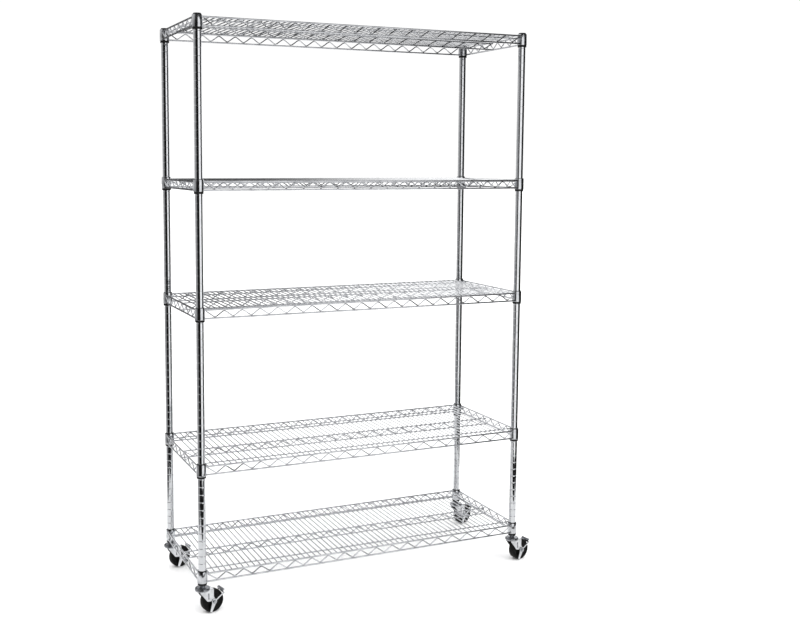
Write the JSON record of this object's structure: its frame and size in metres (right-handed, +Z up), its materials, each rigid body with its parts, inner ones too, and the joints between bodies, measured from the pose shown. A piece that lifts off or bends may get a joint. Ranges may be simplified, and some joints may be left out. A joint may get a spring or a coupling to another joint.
{
  "type": "wire shelf cart",
  "caption": "Tall chrome wire shelf cart: round grooved posts carry welded wire shelves on tapered collars, standing on swivel casters with brake pedals.",
  "frame": {"origin": "on the floor under the middle of the whole cart, wheels included", "axes": "+X to the right along the shelves, -Y the front, +Z up"},
  "size_m": [1.2804, 0.4774, 1.927],
  "materials": {
    "chrome_wire": "bright plated",
    "chrome_tube": "bright plated",
    "chrome_fork": "bright plated",
    "zinc_steel": "zinc plated",
    "sleeve_plastic": "moulded",
    "cap_plastic": "moulded",
    "hub_plastic": "moulded",
    "tyre_rubber": "matt"
  },
  "bodies": {
    "frame": {"shelf_5": "chrome_wire", "sleeve_5_front_left": "sleeve_plastic", "sleeve_5_front_right": "sleeve_plastic", "sleeve_5_back_left": "sleeve_plastic", "sleeve_5_back_right": "sleeve_plastic", "shelf_4": "chrome_wire", "sleeve_4_front_left": "sleeve_plastic", "sleeve_4_front_right": "sleeve_plastic", "sleeve_4_back_left": "sleeve_plastic", "sleeve_4_back_right": "sleeve_plastic", "shelf_3": "chrome_wire", "sleeve_3_front_left": "sleeve_plastic", "sleeve_3_front_right": "sleeve_plastic", "sleeve_3_back_left": "sleeve_plastic", "sleeve_3_back_right": "sleeve_plastic", "shelf_2": "chrome_wire", "sleeve_2_front_left": "sleeve_plastic", "sleeve_2_front_right": "sleeve_plastic", "sleeve_2_back_left": "sleeve_plastic", "sleeve_2_back_right": "sleeve_plastic", "shelf_1": "chrome_wire", "sleeve_1_front_left": "sleeve_plastic", "sleeve_1_front_right": "sleeve_plastic", "sleeve_1_back_left": "sleeve_plastic", "sleeve_1_back_right": "sleeve_plastic", "post_front_left": "chrome_tube", "post_cap_front_left": "cap_plastic", "caster_stem_front_left": "zinc_steel", "post_front_right": "chrome_tube", "post_cap_front_right": "cap_plastic", "caster_stem_front_right": "zinc_steel", "post_back_left": "chrome_tube", "post_cap_back_left": "cap_plastic", "caster_stem_back_left": "zinc_steel", "post_back_right": "chrome_tube", "post_cap_back_right": "cap_plastic", "caster_stem_back_right": "zinc_steel"},
    "swivel_front_left": {"fork_front_left": "chrome_fork", "axle_bolt_front_left": "zinc_steel"},
    "wheel_front_left": {"tyre_front_left": "tyre_rubber", "wheel_hub_front_left": "hub_plastic"},
    "brake_front_left": {"brake_pedal_front_left": "chrome_fork"},
    "swivel_front_right": {"fork_front_right": "chrome_fork", "axle_bolt_front_right": "zinc_steel"},
    "wheel_front_right": {"tyre_front_right": "tyre_rubber", "wheel_hub_front_right": "hub_plastic"},
    "brake_front_right": {"brake_pedal_front_right": "chrome_fork"},
    "swivel_back_left": {"fork_back_left": "chrome_fork", "axle_bolt_back_left": "zinc_steel"},
    "wheel_back_left": {"tyre_back_left": "tyre_rubber", "wheel_hub_back_left": "hub_plastic"},
    "brake_back_left": {"brake_pedal_back_left": "chrome_fork"},
    "swivel_back_right": {"fork_back_right": "chrome_fork", "axle_bolt_back_right": "zinc_steel"},
    "wheel_back_right": {"tyre_back_right": "tyre_rubber", "wheel_hub_back_right": "hub_plastic"},
    "brake_back_right": {"brake_pedal_back_right": "chrome_fork"}
  },
  "joints": [
    {"name": "swivel_front_left_turn", "type": "hinge", "parent": "frame", "child": "swivel_front_left", "pos_m": [-0.6154, -0.21394, 0.0846], "axis": [0, 0, 1], "continuous": true},
    {"name": "wheel_front_left_roll", "type": "hinge", "parent": "swivel_front_left", "child": "wheel_front_left", "pos_m": [-0.58227, -0.20629, 0.038], "axis": [-0.225, 0.9744, 0], "continuous": true},
    {"name": "brake_front_left_press", "type": "hinge", "parent": "swivel_front_left", "child": "brake_front_left", "pos_m": [-0.58227, -0.20629, 0.038], "axis": [-0.225, 0.9744, 0], "range_deg": [0, 20]},
    {"name": "swivel_front_right_turn", "type": "hinge", "parent": "frame", "child": "swivel_front_right", "pos_m": [0.5657, -0.21394, 0.0846], "axis": [0, 0, 1], "continuous": true},
    {"name": "wheel_front_right_roll", "type": "hinge", "parent": "swivel_front_right", "child": "wheel_front_right", "pos_m": [0.59919, -0.20804, 0.038], "axis": [-0.1736, 0.9848, 0], "continuous": true},
    {"name": "brake_front_right_press", "type": "hinge", "parent": "swivel_front_right", "child": "brake_front_right", "pos_m": [0.59919, -0.20804, 0.038], "axis": [-0.1736, 0.9848, 0], "range_deg": [0, 20]},
    {"name": "swivel_back_left_turn", "type": "hinge", "parent": "frame", "child": "swivel_back_left", "pos_m": [-0.6154, 0.20516, 0.0846], "axis": [0, 0, 1], "continuous": true},
    {"name": "wheel_back_left_roll", "type": "hinge", "parent": "swivel_back_left", "child": "wheel_back_left", "pos_m": [-0.58214, 0.21223, 0.038], "axis": [-0.2079, 0.9781, 0], "continuous": true},
    {"name": "brake_back_left_press", "type": "hinge", "parent": "swivel_back_left", "child": "brake_back_left", "pos_m": [-0.58214, 0.21223, 0.038], "axis": [-0.2079, 0.9781, 0], "range_deg": [0, 20]},
    {"name": "swivel_back_right_turn", "type": "hinge", "parent": "frame", "child": "swivel_back_right", "pos_m": [0.5657, 0.20516, 0.0846], "axis": [0, 0, 1], "continuous": true},
    {"name": "wheel_back_right_roll", "type": "hinge", "parent": "swivel_back_right", "child": "wheel_back_right", "pos_m": [0.59896, 0.21223, 0.038], "axis": [-0.2079, 0.9781, 0], "continuous": true},
    {"name": "brake_back_right_press", "type": "hinge", "parent": "swivel_back_right", "child": "brake_back_right", "pos_m": [0.59896, 0.21223, 0.038], "axis": [-0.2079, 0.9781, 0], "range_deg": [0, 20]}
  ]
}
